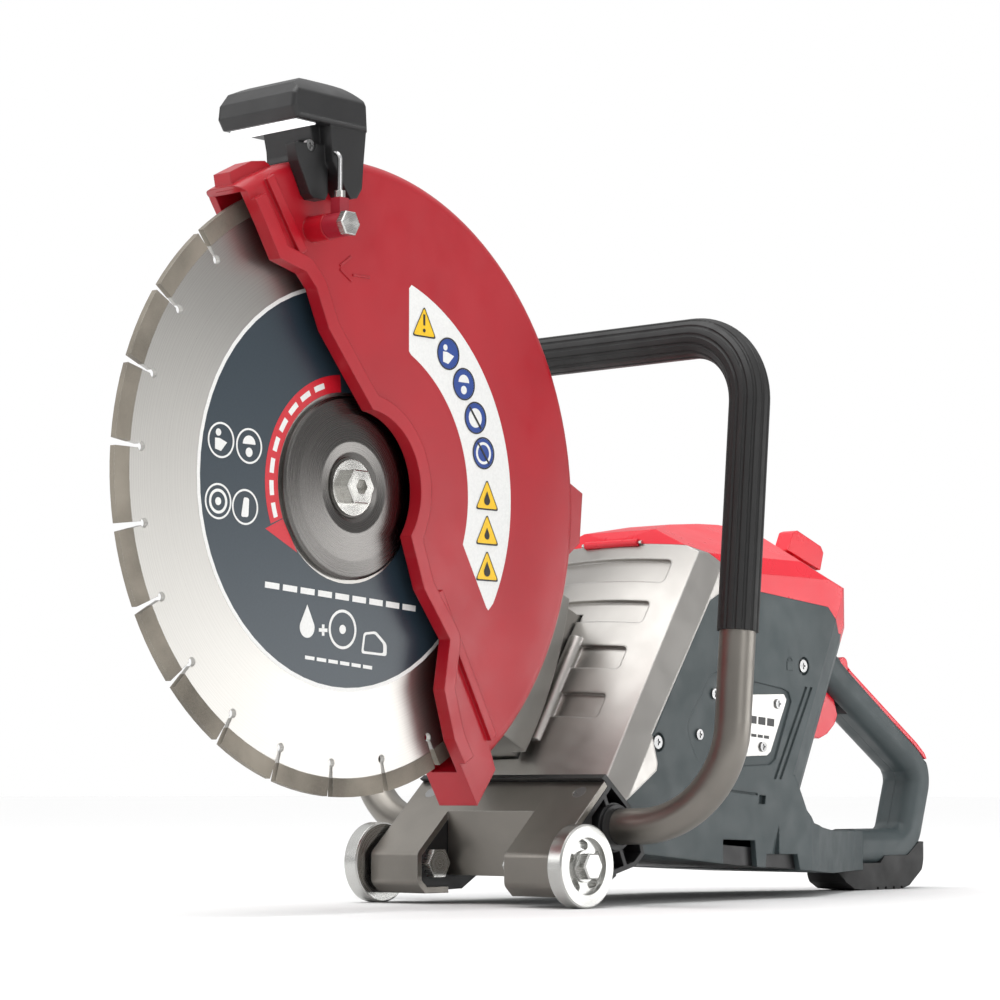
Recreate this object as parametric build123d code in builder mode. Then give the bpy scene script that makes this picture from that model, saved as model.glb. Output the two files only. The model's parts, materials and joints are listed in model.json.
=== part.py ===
from build123d import *

import os
from math import atan, cos, radians, sin

# Battery rescue saw with a 350 mm blade, as separate named pieces.
# Axes: +X is the saw's left side, -Y is forwards to the blade, +Z is up.
# X = 0 is the middle of the body and Z = 0 is the floor. All sizes are millimetres.

os.makedirs("parts", exist_ok=True)

# Blade and flanges
BLADE_AXIS = (-237.0, 241.0)
BLADE_X = 47.0
BLADE_R = 175.0
CORE_R = 164.5
CORE_THICK = 3.2
SEGMENT_THICK = 3.8
GULLETS = 24
GULLET_START = 130.98
GULLET_HOLE_R = 2.5
GULLET_HOLE_AT = 156.2
ARBOR_R = 12.7
FLANGE_R = 52.5
INNER_FLANGE_X = (41.4, 45.4)

# Guard
GUARD_R = 187.0
GUARD_INNER_R = 181.5
GUARD_X = (32.0, 62.0)
GUARD_WALL = 5.0
GUARD_LIP = 4.0
NOTCH_R = 44.0
HUB_R = 46.0
HUB_SEAT_R = 30.0
WATER_AXIS = (-279.0, 382.5)
BANJO_X = (76.0, 88.0)
PIPE_AT = (80.0, -275.5)
PIPE_R = 1.4
PIPE_LOW = 398.5
PIPE_HIGH = 425.0

# Drive arm, belt and motor
ARM_X = (-36.0, -4.0)
ARM_FRONT_X = 8.0
ARM_STEP_R = 250.0
ARM_WALL = 5.0
ARM_ROOT = (0.0, 130.0)
MOTOR_AXIS = (60.0, 132.0)
MOTOR_R = 41.0
SHAFT_R = 4.95
SPINDLE_R = 9.95
SPINDLE_PULLEY_R = 30.0
MOTOR_PULLEY_R = 14.0
BELT_X = (-27.0, -15.0)
BELT_THICK = 3.0

# Body
BODY_HALF = 74.0
WALL = 4.0
FRONT_ANGLE = atan(0.65)
TAIL_ANGLE = atan(0.486)
COVER_TOP = (61.0, 229.3)
HINGE_AXIS = (60.6, 229.4)
PIN_R = 1.2
PIN_HALF = 25.0
KNUCKLE_R = 2.4
KNUCKLE_HALF = 22.0
RECESS_DEPTH = 2.8

# Rear handle
GRIP_HALF = 16.0
GRIP_THICK = 26.0
GRIP_ROUND = 10.0
TRIGGER_AXIS = (284.0, 151.0)
LEVER_AXIS = (302.0, 158.0)
LEVER_HALF = 13.0
BARREL_R = 5.5
BARREL_HALF = 12.0
KNUCKLE_X = 4.7

# Front handle
TUBE_R = 11.0
TUBE_WALL = 2.5
SLEEVE_R = 12.6
HANDLE_X = 151.5
SOCKET = (-30.0, 47.5)

# Wheels and bracket
AXLE_AXIS = (-72.0, 25.0)
WHEEL_R = 25.0
WHEEL_X = (77.9, 89.1)
BOLT_R = 6.0
BRACKET_HALF = 75.0
LEG_X = (35.6, 75.0)

# Side-view outlines, as (y, z) points
BODY_SIDE = [(-70, 80), (-37.5, 80), (-17, 63.5), (-8, 56), (0, 31), (41, 27.3), (98, 22), (183, 17),
             (330, 17), (330, 200), (301, 216), (287, 222), (235, 238.4), (220, 241.6), (166, 248.5),
             (140, 247.4), (99, 243.8), (68, 238), (60, 229.3), (-70, 229.3)]
LID_REGION = [(40, 229.3), (60, 229.3), (82, 216), (103, 199.5), (124.5, 198), (197, 191.7),
              (208, 182), (217, 175), (340, 168), (340, 300), (40, 300)]
COVER_REGION = [(60, 229.3), (82, 216), (103, 199.5), (80, 196), (68, 190), (50, 164), (24, 126),
                (9, 104), (14, 86.5), (13, 82), (-17, 63.5), (-90, 60), (-90, 229.3)]
TONGUE = [(140, 80), (158, 80), (165, 68), (171, 57), (181, 48.5), (200, 45.5), (231, 43), (318, 42),
          (318, 14.5), (230, 14.5), (183, 17), (140, 19.5)]
BRACKET = [(-37.8, 79.7), (-42, 77.3), (-38.8, 75.6), (-36, 72.2), (-54.3, 55.4), (-54.3, 17.6),
           (-32, 18.5), (-9, 24), (-0.6, 31), (-8.6, 55.6), (-17.4, 63)]
BRACKET_ARM = [(-36.1, 72.1), (-82.1, 29.6), (-82.2, 14.9), (-77.3, 10.7), (-57.9, 10.7),
               (-57.9, 8.5), (-45, 8.8), (-28, 18.4), (-36, 60)]


def save(piece, name):
    """Label one piece and write it to its own file."""
    piece.part.label = name
    export_step(piece.part, f"parts/{name}.step")


def polar(radius, angle, centre=BLADE_AXIS):
    """Side-view point at a radius and angle about a centre."""
    turn = radians(angle)
    return (centre[0] + radius * cos(turn), centre[1] + radius * sin(turn))


def side(x):
    """Plane of the side view, moved along the saw's width."""
    return Plane.YZ.offset(x)


def slab(points, low, high, mode=Mode.ADD, corner=0.0):
    """Side-view outline, extruded from one X to another."""
    with BuildSketch(side(low)) as outline:
        with BuildLine():
            Polyline(*points, close=True)
        make_face()
        if corner > 0:
            fillet(outline.vertices(), corner)
    return extrude(outline.sketch, amount=high - low, mode=mode)


def rod(centre, radius, low, high, mode=Mode.ADD):
    """Round bar along X."""
    with BuildSketch(side(low)) as outline:
        with Locations(centre):
            Circle(radius)
    return extrude(outline.sketch, amount=high - low, mode=mode)


def hexagon(centre, across, low, high, mode=Mode.ADD):
    """Six-sided bar along X, sized across its flats."""
    with BuildSketch(side(low)) as outline:
        with Locations(centre):
            RegularPolygon(across / 2, 6, major_radius=False)
    return extrude(outline.sketch, amount=high - low, mode=mode)


def hull(circles, low, high, mode=Mode.ADD):
    """Outline stretched round several circles, given as (centre, radius)."""
    with BuildSketch(side(low)) as outline:
        for centre, radius in circles:
            with Locations(centre):
                Circle(radius)
        make_hull()
    return extrude(outline.sketch, amount=high - low, mode=mode)


def turned(centre, profile, mode=Mode.ADD):
    """Profile of (x, radius) points, turned about an axis along X."""
    origin = (0, centre[0], centre[1])
    with BuildSketch(Plane(origin=origin, x_dir=(1, 0, 0), z_dir=(0, -1, 0))) as section:
        with BuildLine():
            Polyline(*profile, close=True)
        make_face()
    return revolve(section.sketch, Axis(origin, (1, 0, 0)), mode=mode)


def block(low, high, mode=Mode.ADD):
    """Box between two opposite corners."""
    size = [b - a for a, b in zip(low, high)]
    middle = tuple((a + b) / 2 for a, b in zip(low, high))
    with Locations(middle):
        return Box(*size, mode=mode)


def both_sides():
    """Add the mirror image of the piece across the middle of the saw."""
    mirror(about=Plane.YZ)


# ---------------------------------------------------------------- blade

def cut_gullets(low, high):
    """Keyhole slots that split the blade's rim into segments."""
    with BuildSketch(side(low)) as slots:
        with Locations(BLADE_AXIS):
            with PolarLocations(0, GULLETS, start_angle=GULLET_START):
                Polygon((GULLET_HOLE_AT, -0.9), (BLADE_R + 3, -2.4), (BLADE_R + 3, 2.4),
                        (GULLET_HOLE_AT, 0.9), align=None)
                with Locations((GULLET_HOLE_AT, 0)):
                    Circle(GULLET_HOLE_R)
    extrude(slots.sketch, amount=high - low, mode=Mode.SUBTRACT)


def blade_disc():
    low = BLADE_X - CORE_THICK / 2
    high = BLADE_X + CORE_THICK / 2
    with BuildPart() as piece:
        rod(BLADE_AXIS, CORE_R, low, high)
        rod(BLADE_AXIS, ARBOR_R, low, high, Mode.SUBTRACT)
        cut_gullets(low, high)
    save(piece, "blade_disc")


def blade_segments():
    low = BLADE_X - SEGMENT_THICK / 2
    high = BLADE_X + SEGMENT_THICK / 2
    with BuildPart() as piece:
        rod(BLADE_AXIS, BLADE_R, low, high)
        rod(BLADE_AXIS, CORE_R, low, high, Mode.SUBTRACT)
        cut_gullets(low, high)
    save(piece, "blade_segments")


def inner_flange():
    with BuildPart() as piece:
        rod(BLADE_AXIS, FLANGE_R, *INNER_FLANGE_X)
        rod(BLADE_AXIS, ARBOR_R, *INNER_FLANGE_X, mode=Mode.SUBTRACT)
    save(piece, "inner_flange")


def outer_flange():
    """Dished clamping disc with a sunk seat for the bolt's washer."""
    with BuildPart() as piece:
        turned(BLADE_AXIS, [(48.6, ARBOR_R), (48.6, FLANGE_R), (50.8, FLANGE_R), (52.2, 50.8),
                            (53.2, 42), (54.6, 26), (53.8, 20), (52.2, 17), (52.2, ARBOR_R)])
    save(piece, "outer_flange")


def arbor_washer():
    with BuildPart() as piece:
        rod(BLADE_AXIS, 16, 52.2, 53.8)
        rod(BLADE_AXIS, 5, 52.2, 53.8, Mode.SUBTRACT)
    save(piece, "arbor_washer")


def arbor_bolt():
    """Hexagon bolt with a key socket, holding the flanges on the spindle."""
    with BuildPart() as piece:
        rod(BLADE_AXIS, 5, 22, 53.8)
        hexagon(BLADE_AXIS, 19, 53.8, 61)
        chamfer(piece.faces().sort_by(Axis.X)[-1].edges(), 0.8)
        hexagon(BLADE_AXIS, 8, 56, 61, Mode.SUBTRACT)
    save(piece, "arbor_bolt")


def spindle():
    """Stepped shaft: pulley seat, two bearing seats, shoulder and blade nose."""
    with BuildPart() as piece:
        turned(BLADE_AXIS, [(-31, 0), (-31, SPINDLE_R), (33.2, SPINDLE_R), (33.2, 14), (41.4, 14),
                            (41.4, 12.65), (49.6, 12.65), (49.6, 5), (20, 5), (20, 0)])
    save(piece, "spindle")


def spindle_bearings():
    with BuildPart() as piece:
        for low, high in ((-6, 3), (24, 33)):
            rod(BLADE_AXIS, 17.5, low, high)
            rod(BLADE_AXIS, 10, low, high, Mode.SUBTRACT)
    save(piece, "spindle_bearings")


def pulley(name, centre, radius, bore):
    """Flat belt pulley with a flange at each edge."""
    with BuildPart() as piece:
        rod(centre, radius, BELT_X[0] - 2, BELT_X[1] + 2)
        rod(centre, radius + BELT_THICK + 1.5, BELT_X[0] - 2, BELT_X[0] - 0.1)
        rod(centre, radius + BELT_THICK + 1.5, BELT_X[1] + 0.1, BELT_X[1] + 2)
        rod(centre, bore, BELT_X[0] - 2, BELT_X[1] + 2, Mode.SUBTRACT)
    save(piece, name)


def belt():
    inside = 0.03
    with BuildPart() as piece:
        hull([(BLADE_AXIS, SPINDLE_PULLEY_R + BELT_THICK), (MOTOR_AXIS, MOTOR_PULLEY_R + BELT_THICK)],
             *BELT_X)
        hull([(BLADE_AXIS, SPINDLE_PULLEY_R + inside), (MOTOR_AXIS, MOTOR_PULLEY_R + inside)],
             *BELT_X, mode=Mode.SUBTRACT)
    save(piece, "drive_belt")


def spindle_nut():
    with BuildPart() as piece:
        hexagon(BLADE_AXIS, 30, -32, -29)
        rod(BLADE_AXIS, SPINDLE_R, -32, -29, Mode.SUBTRACT)
    save(piece, "spindle_nut")


# ---------------------------------------------------------------- guard

RIM_TOP = polar(GUARD_R, 122)
RIM_END = polar(GUARD_R, -54)
NOTCH_LOW = polar(NOTCH_R, -36)
NOTCH_HIGH = polar(NOTCH_R, 85)
CUT_LOWER = [RIM_END, (-124, 82), (-140, 61), (-164, 99), (-173, 128), (-168, 157), (-190, 185), NOTCH_LOW]
CUT_UPPER = [NOTCH_HIGH, (-247, 301), (-269, 327), (-279, 349), (-287, 357), (-307.5, 362), (-318.6, 380),
             (-330, 397), RIM_TOP]


def guard_outline():
    """Guard outline: round rim, stepped front edge and a notch for the flange."""
    with BuildSketch() as outline:
        with BuildLine():
            ThreePointArc(RIM_TOP, polar(GUARD_R, 34), RIM_END)
            Polyline(*CUT_LOWER)
            ThreePointArc(NOTCH_LOW, polar(NOTCH_R, 25), NOTCH_HIGH)
            Polyline(*CUT_UPPER)
        make_face()
    return outline.sketch


def guard_shell():
    low, high = GUARD_X
    with BuildPart() as piece:
        with BuildSketch(side(low)) as walls:
            add(guard_outline())
        extrude(walls.sketch, amount=high - low)
        rim = piece.edges().filter_by(GeomType.CIRCLE).filter_by(lambda edge: edge.radius > NOTCH_R + 1)
        fillet(rim, 7)
        rod(BLADE_AXIS, GUARD_INNER_R, low + GUARD_WALL, high - GUARD_WALL, Mode.SUBTRACT)
        rod(BLADE_AXIS, HUB_R, low, low + GUARD_WALL)
        rod(BLADE_AXIS, HUB_SEAT_R, low, low + GUARD_WALL, Mode.SUBTRACT)
        with BuildSketch(side(high)) as lip:
            add(guard_outline())
            with Locations(BLADE_AXIS):
                Circle(GUARD_R - 11, mode=Mode.INTERSECT)
            add(offset(guard_outline(), amount=-9, mode=Mode.PRIVATE), mode=Mode.SUBTRACT)
        extrude(lip.sketch, amount=GUARD_LIP)
        rod(WATER_AXIS, 7.4, high - 1, BANJO_X[0])
        rod(WATER_AXIS, 4, 68, BANJO_X[0], Mode.SUBTRACT)
        slab([polar(184, 110), polar(191, 112), polar(193.5, 115), polar(193.5, 120.5),
              polar(184, 121.5)], 41, 54)
        slab([polar(184, -9), polar(194, -6), polar(196, 3), polar(184, 5)], 40, 60)
        slab([(-316.5, 405.3), (-311.5, 408.7), (-285, 369.7), (-290, 366.3)], high - 1, high + 2.5)
        slab([(-178.6, 182.5), (-173.4, 185.5), (-126, 102), (-131, 99)], high, high + 3)
    save(piece, "guard_shell")


def guard_ring():
    with BuildPart() as piece:
        rod(BLADE_AXIS, 36, 37.2, 39.2)
        rod(BLADE_AXIS, 18, 37.2, 39.2, Mode.SUBTRACT)
        ring_screw_shapes(Mode.SUBTRACT)
    save(piece, "guard_ring")


def ring_screw_shapes(mode=Mode.ADD):
    for angle in (90, 210, 330):
        rod(polar(24, angle), 1.6, 27, 39.2, mode)
        rod(polar(24, angle), 3.2, 38.2, 39.2, mode)


def guard_ring_screws():
    with BuildPart() as piece:
        ring_screw_shapes()
    save(piece, "guard_ring_screws")


GRIP_SCREW = (-288.0, 428.0)
GRIP_X = (16.0, 78.0)
GRIP_BAR = [(-306, 440), (-310, 446), (-309, 454), (-303, 461.5), (-290, 467), (-270, 470), (-258, 466),
            (-251, 455), (-250, 440)]
GRIP_FRONT_LEG = [(-301, 428), (-298, 418), (-288.5, 400.5), (-285.5, 398.3), (-277, 398.5),
                  (-274.8, 402), (-275, 430)]
GRIP_REAR_LEG = [(-279, 440), (-277, 420), (-266.5, 405), (-262.5, 400.5), (-257.5, 401.5),
                 (-253.6, 407.4), (-252.4, 422), (-250.5, 440)]


def lamp_grip():
    """Crowned hand grip over the guard's top, with a lamp pocket and legs on the guard's walls."""
    low, high = GUARD_X
    gap = 0.1
    with BuildPart() as piece:
        slab(GRIP_BAR, *GRIP_X)
        with BuildSketch(Plane.XZ.offset(240)) as crown:
            with BuildLine():
                ThreePointArc((GRIP_X[0], 464), (44, 471), (GRIP_X[1], 456))
                Polyline((GRIP_X[1], 456), (GRIP_X[1], 400), (GRIP_X[0], 400), (GRIP_X[0], 464))
            make_face()
        extrude(crown.sketch, amount=80, mode=Mode.INTERSECT)
        by_width = piece.faces().sort_by(Axis.X)
        fillet(by_width[0].edges() + by_width[-1].edges(), 3)
        slab([(-287, 442), (-283, 426), (-283, 415), (-252, 415), (-252, 442)], 30, 67)
        slab(GRIP_FRONT_LEG, high + gap, 70)
        slab(GRIP_REAR_LEG, high + gap, 76)
        slab(GRIP_REAR_LEG, 24, low - gap)
        rod(GRIP_SCREW, 4, 54, high + gap)
        rod(BLADE_AXIS, GUARD_R + gap, low - gap, high + gap, Mode.SUBTRACT)
        block((21, -303.5, 439), (73, -288, 442), Mode.SUBTRACT)
        rod(GRIP_SCREW, 1.6, 54, 67, Mode.SUBTRACT)
        rod(GRIP_SCREW, 3.4, 67, 72, Mode.SUBTRACT)
        rod((PIPE_AT[1], PIPE_HIGH), PIPE_R, 63, 77, Mode.SUBTRACT)
    save(piece, "lamp_grip")


def lamp_lens():
    with BuildPart() as piece:
        block((21, -303.5, 439.2), (73, -288, 442))
    save(piece, "lamp_lens")


def cross_head(centre, low, high):
    """Crossed driver slot cut into a screw head."""
    y, z = centre
    block((low, y - 2, z - 0.5), (high, y + 2, z + 0.5), Mode.SUBTRACT)
    block((low, y - 0.5, z - 2), (high, y + 0.5, z + 2), Mode.SUBTRACT)


def grip_screw():
    with BuildPart() as piece:
        rod(GRIP_SCREW, 1.6, 54, 67)
        rod(GRIP_SCREW, 3.4, 67, 69)
        cross_head(GRIP_SCREW, 68, 69)
    save(piece, "grip_screw")


def water_bolt():
    with BuildPart() as piece:
        rod(WATER_AXIS, 4, 68, BANJO_X[1])
        hexagon(WATER_AXIS, 13, BANJO_X[1], BANJO_X[1] + 4.5)
        chamfer(piece.faces().sort_by(Axis.X)[-1].edges(), 0.6)
    save(piece, "water_bolt")


def water_elbow():
    """Banjo ring on the bolt with a stub that points up."""
    x, y = PIPE_AT
    with BuildPart() as piece:
        rod(WATER_AXIS, 6.8, *BANJO_X)
        block((x - 3.6, y - 3.6, WATER_AXIS[1] + 3.5), (x + 3.6, y + 3.6, PIPE_LOW))
        rod(WATER_AXIS, 4, *BANJO_X, mode=Mode.SUBTRACT)
    save(piece, "water_elbow")


def water_ferrule():
    with BuildPart() as piece:
        with Locations((*PIPE_AT, PIPE_LOW + 2)):
            Cylinder(3.2, 4)
            Cylinder(PIPE_R, 4, mode=Mode.SUBTRACT)
    save(piece, "water_ferrule")


def water_pipe():
    """Thin bent pipe from the elbow up into the grip."""
    x, y = PIPE_AT
    with BuildPart() as piece:
        with BuildLine() as path:
            FilletPolyline((x, y, PIPE_LOW), (x, y, PIPE_HIGH), (64, y, PIPE_HIGH), radius=5)
        with BuildSketch(Plane(origin=path.line @ 0, z_dir=path.line % 0)) as ring:
            Circle(PIPE_R)
        sweep(ring.sketch, path=path.line)
    save(piece, "water_pipe")


# ---------------------------------------------------------------- drive arm

ARM_CIRCLES = [(BLADE_AXIS, 42.0), (ARM_ROOT, 48.0), (MOTOR_AXIS, 36.0)]


def grown(circles, amount):
    return [(centre, radius + amount) for centre, radius in circles]


def cover_screw_points():
    spindle_end = [polar(39.5, angle) for angle in (90, 155, 220)]
    motor_end = [polar(33.5, angle, MOTOR_AXIS) for angle in (-45, 0, 45)]
    return spindle_end + motor_end


def arm_housing():
    """Cast arm: belt case, stepped front wall, and a tube for the spindle bearings."""
    low, high = ARM_X
    floor = -10
    with BuildPart() as piece:
        hull(ARM_CIRCLES, high, ARM_FRONT_X)
        rod(BLADE_AXIS, ARM_STEP_R, high, ARM_FRONT_X, Mode.INTERSECT)
        hull(ARM_CIRCLES, low, high)
        hull(grown(ARM_CIRCLES, -ARM_WALL), low, floor, Mode.SUBTRACT)
        rod(BLADE_AXIS, 34, ARM_FRONT_X, 31.8)
        rod(BLADE_AXIS, HUB_SEAT_R - 0.05, 31.8, 37.2)
        rod(BLADE_AXIS, 12, floor, 37.2, Mode.SUBTRACT)
        rod(BLADE_AXIS, 17.5, -6, 3, Mode.SUBTRACT)
        rod(BLADE_AXIS, 17.5, 24, 37.2, Mode.SUBTRACT)
        rod(MOTOR_AXIS, 10, floor, high, Mode.SUBTRACT)
        for point in cover_screw_points():
            rod(point, 1.6, low, -26, Mode.SUBTRACT)
        ring_screw_shapes(Mode.SUBTRACT)
    save(piece, "arm_housing")


def arm_cover():
    low = ARM_X[0] - 4
    with BuildPart() as piece:
        hull(ARM_CIRCLES, low, ARM_X[0])
        for point in cover_screw_points():
            rod(point, 1.6, low, ARM_X[0], Mode.SUBTRACT)
    save(piece, "arm_cover")


def arm_cover_screws():
    low = ARM_X[0] - 4
    with BuildPart() as piece:
        for point in cover_screw_points():
            rod(point, 1.6, low, -26)
            rod(point, 2.6, low - 2.5, low)
            hexagon(point, 2.5, low - 2.5, low - 1, Mode.SUBTRACT)
    save(piece, "arm_cover_screws")


def motor_case():
    """Cup round the motor, closed at its outer end."""
    with BuildPart() as piece:
        rod(MOTOR_AXIS, MOTOR_R, ARM_X[1], 60)
        rod(MOTOR_AXIS, MOTOR_R - 3, ARM_X[1], 56, Mode.SUBTRACT)
        rod(MOTOR_AXIS, 10, 56, 60, Mode.SUBTRACT)
    save(piece, "motor_case")


def motor_stator():
    """Laminated ring with open winding slots."""
    with BuildPart() as piece:
        rod(MOTOR_AXIS, MOTOR_R - 3, 6, 50)
        rod(MOTOR_AXIS, 25, 6, 50, Mode.SUBTRACT)
        with BuildSketch(side(6)) as slots:
            with Locations(MOTOR_AXIS):
                with PolarLocations(29.5, 12):
                    Rectangle(10, 5)
        extrude(slots.sketch, amount=44, mode=Mode.SUBTRACT)
    save(piece, "motor_stator")


def motor_rotor():
    with BuildPart() as piece:
        rod(MOTOR_AXIS, 24.5, 8, 48)
        rod(MOTOR_AXIS, SHAFT_R, -31, 67)
    save(piece, "motor_rotor")


def motor_bearings():
    with BuildPart() as piece:
        for low, high in ((-10, -4), (54, 60)):
            rod(MOTOR_AXIS, 10, low, high)
            rod(MOTOR_AXIS, 5, low, high, Mode.SUBTRACT)
    save(piece, "motor_bearings")


def cooling_fan():
    """Hub with nine flat blades."""
    with BuildPart() as piece:
        with BuildSketch(side(61)) as blades:
            with Locations(MOTOR_AXIS):
                Circle(10)
                with PolarLocations(20, 9):
                    Rectangle(28, 2.5, rotation=18)
        extrude(blades.sketch, amount=6)
        rod(MOTOR_AXIS, SHAFT_R, 61, 67, Mode.SUBTRACT)
    save(piece, "cooling_fan")


# ---------------------------------------------------------------- body

def front_plane():
    """Plane square to the sloping front, with local y pointing into the body."""
    return Plane(origin=(0, *COVER_TOP), x_dir=(1, 0, 0), z_dir=(0, sin(FRONT_ANGLE), cos(FRONT_ANGLE)))


def tail_plane():
    """Plane square to the sloping tail, with local y pointing backwards."""
    return Plane(origin=(0, 0, 0), x_dir=(1, 0, 0), z_dir=(0, sin(TAIL_ANGLE), cos(TAIL_ANGLE)))


def rear_roof_plane():
    """Plane square to the roof behind its bend, with local y pointing up."""
    return Plane(origin=(0, 235, 238.4), x_dir=(1, 0, 0), z_dir=(0, -52, 16.4))


def body_form(inset):
    """Closed solid of the whole body, shrunk evenly by the inset."""
    half = BODY_HALF - inset
    with BuildPart() as form:
        with BuildSketch(side(-half)) as profile:
            with BuildLine():
                Polyline(*BODY_SIDE, close=True)
            make_face()
            if inset > 0:
                offset(amount=-inset, kind=Kind.INTERSECTION)
        extrude(profile.sketch, amount=2 * half)
        with BuildSketch(front_plane()) as front:
            with BuildLine():
                ThreePointArc((-68, 7.5), (0, 0), (68, 7.5))
                Polyline((68, 7.5), (BODY_HALF, 26), (BODY_HALF, 500), (-BODY_HALF, 500),
                         (-BODY_HALF, 26), (-68, 7.5))
            make_face()
            if inset > 0:
                offset(amount=-inset, kind=Kind.INTERSECTION)
        extrude(front.sketch, amount=400, both=True, mode=Mode.INTERSECT)
        with BuildSketch(tail_plane()) as tail:
            with BuildLine():
                Polyline((-BODY_HALF, -400), (-BODY_HALF, 105), (-66, 124), (-26, 175.5), (-6, 184),
                         (6, 184), (26, 175.5), (66, 124), (BODY_HALF, 105), (BODY_HALF, -400),
                         close=True)
            make_face()
            if inset > 0:
                offset(amount=-inset, kind=Kind.INTERSECTION)
        extrude(tail.sketch, amount=500, both=True, mode=Mode.INTERSECT)
        with BuildSketch(Plane.XZ.offset(100)) as crown:
            with BuildLine():
                Polyline((-BODY_HALF, 0), (-BODY_HALF, 210), (-69, 221), (-5, 249), (5, 249), (69, 221),
                         (BODY_HALF, 210), (BODY_HALF, 0), close=True)
            make_face()
            if inset > 0:
                offset(amount=-inset, kind=Kind.INTERSECTION)
        extrude(crown.sketch, amount=-500, mode=Mode.INTERSECT)
        with BuildSketch(rear_roof_plane()) as rear_roof:
            with BuildLine():
                Polyline((-BODY_HALF, -300), (-BODY_HALF, -38), (-66, -33.5), (-30, -14), (-5, -1), (5, -1),
                         (30, -14), (66, -33.5), (BODY_HALF, -38), (BODY_HALF, -300), close=True)
            make_face()
            if inset > 0:
                offset(amount=-inset, kind=Kind.INTERSECTION)
        extrude(rear_roof.sketch, amount=400, both=True, mode=Mode.INTERSECT)
        with BuildSketch(Plane.XY) as plan:
            with BuildLine():
                Polyline((-BODY_HALF, -100), (-BODY_HALF, 214), (-66, 226), (-50, 249), (-26, 284),
                         (-6, 312), (6, 312), (26, 284), (50, 249), (66, 226), (BODY_HALF, 214),
                         (BODY_HALF, -100), close=True)
            make_face()
            if inset > 0:
                offset(amount=-inset, kind=Kind.INTERSECTION)
        extrude(plan.sketch, amount=400, mode=Mode.INTERSECT)
    return form.part


OUTER = body_form(0)
INNER = body_form(WALL)
ARM_OPENING_X = (-42.0, -2.5)


def region(points, low=-100.0, high=100.0):
    """Prism along X that picks out one part of the body shell."""
    with BuildPart() as prism:
        slab(points, low, high)
    return prism.part


def front_recess(x_low, x_high, z_low, z_high):
    """Pressed recess in the sloping front, following its curve."""
    rise = cos(FRONT_ANGLE)
    low = (z_low - COVER_TOP[1]) / rise
    high = (z_high - COVER_TOP[1]) / rise
    face = Plane(origin=(0, *COVER_TOP), x_dir=(1, 0, 0), z_dir=(0, -rise, sin(FRONT_ANGLE)))
    with BuildPart() as tool:
        with BuildSketch(face) as outline:
            with Locations(((x_low + x_high) / 2, (low + high) / 2)):
                RectangleRounded(x_high - x_low, high - low, 3.5)
        extrude(outline.sketch, amount=20, both=True)
        add(body_form(RECESS_DEPTH), mode=Mode.SUBTRACT)
    return tool.part


def front_cover():
    """Aluminium front of the body, open where the arm passes through."""
    with BuildPart() as piece:
        add(OUTER)
        add(INNER, mode=Mode.SUBTRACT)
        add(region(COVER_REGION), mode=Mode.INTERSECT)
        for recess in ((-52, 52, 204, 219), (-48.5, 48.5, 177.5, 191.5), (5, 45.5, 147.5, 162),
                       (6, 44.5, 116.5, 132)):
            add(front_recess(*recess), mode=Mode.SUBTRACT)
        slide = Plane(origin=(3, -20.5, 100), x_dir=(1, 0, 0),
                      z_dir=(0, sin(FRONT_ANGLE), cos(FRONT_ANGLE)))
        with BuildSketch(slide) as bead:
            Circle(6)
        extrude(bead.sketch, amount=78)
        add(INNER, mode=Mode.SUBTRACT)
        hull(grown(ARM_CIRCLES, 1.5), *ARM_OPENING_X, mode=Mode.SUBTRACT)
        rod(HINGE_AXIS, KNUCKLE_R + 0.1, -KNUCKLE_HALF - 0.2, KNUCKLE_HALF + 0.2, Mode.SUBTRACT)
        rod(HINGE_AXIS, PIN_R, -PIN_HALF, PIN_HALF, Mode.SUBTRACT)
    save(piece, "front_cover")


def lid_hinge_pin():
    with BuildPart() as piece:
        rod(HINGE_AXIS, PIN_R, -PIN_HALF, PIN_HALF)
    save(piece, "lid_hinge_pin")


LATCH = [(245.5, 236.2), (252, 249), (257, 250.5), (285, 241), (288, 236.5), (284, 224.2)]
LATCH_DIRECTION = (52, -16.4)


def top_lid():
    """Battery lid with a slot for the latch stem."""
    with BuildPart() as piece:
        add(OUTER)
        add(INNER, mode=Mode.SUBTRACT)
        add(region(LID_REGION), mode=Mode.INTERSECT)
        rod(HINGE_AXIS, PIN_R + 0.05, -PIN_HALF - 0.2, PIN_HALF + 0.2, Mode.SUBTRACT)
        rod(HINGE_AXIS, KNUCKLE_R, -KNUCKLE_HALF, KNUCKLE_HALF)
        rod(HINGE_AXIS, PIN_R + 0.05, -KNUCKLE_HALF, KNUCKLE_HALF, Mode.SUBTRACT)
        slab([(255, 215), (255, 245), (283, 240), (283, 210)], -3.2, 3.2, Mode.SUBTRACT)
        slab([(250, 160), (250, 198), (300, 167.6), (300, 150)], -17.4, 17.4, Mode.SUBTRACT)
    save(piece, "top_lid")


def lid_latch():
    """Finger tab on the lid, with a stem and an inner plate."""
    with BuildPart() as piece:
        slab(LATCH, -6, 6)
        fillet(piece.edges().filter_by(Axis.X).sort_by(Axis.Z)[-3:], 2)
        slab([(256, 222), (256, 240), (274, 234), (274, 216)], -3, 3)
        slab([(250, 223), (250, 226), (278, 217.2), (278, 214.2)], -6, 6)
    save(piece, "lid_latch")


PANEL = [(68, 142), (44, 112), (46, 103), (54, 89), (60, 84), (131, 86.5), (137, 90), (155, 128),
         (152, 134), (146, 136), (74, 145)]
NAMEPLATE = [(96, 131), (80, 101), (82, 91), (128, 92.5), (132, 95), (150, 129), (147, 132.5)]
HOUSING_SCREWS = [(15, 99.7), (169, 151.5), (73, 131), (57, 105)]
PLATE_SCREWS = [(140, 126), (123, 98)]


def side_screw_holes(points, low, high):
    for point in points:
        rod(point, 2, low, high, Mode.SUBTRACT)


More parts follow.
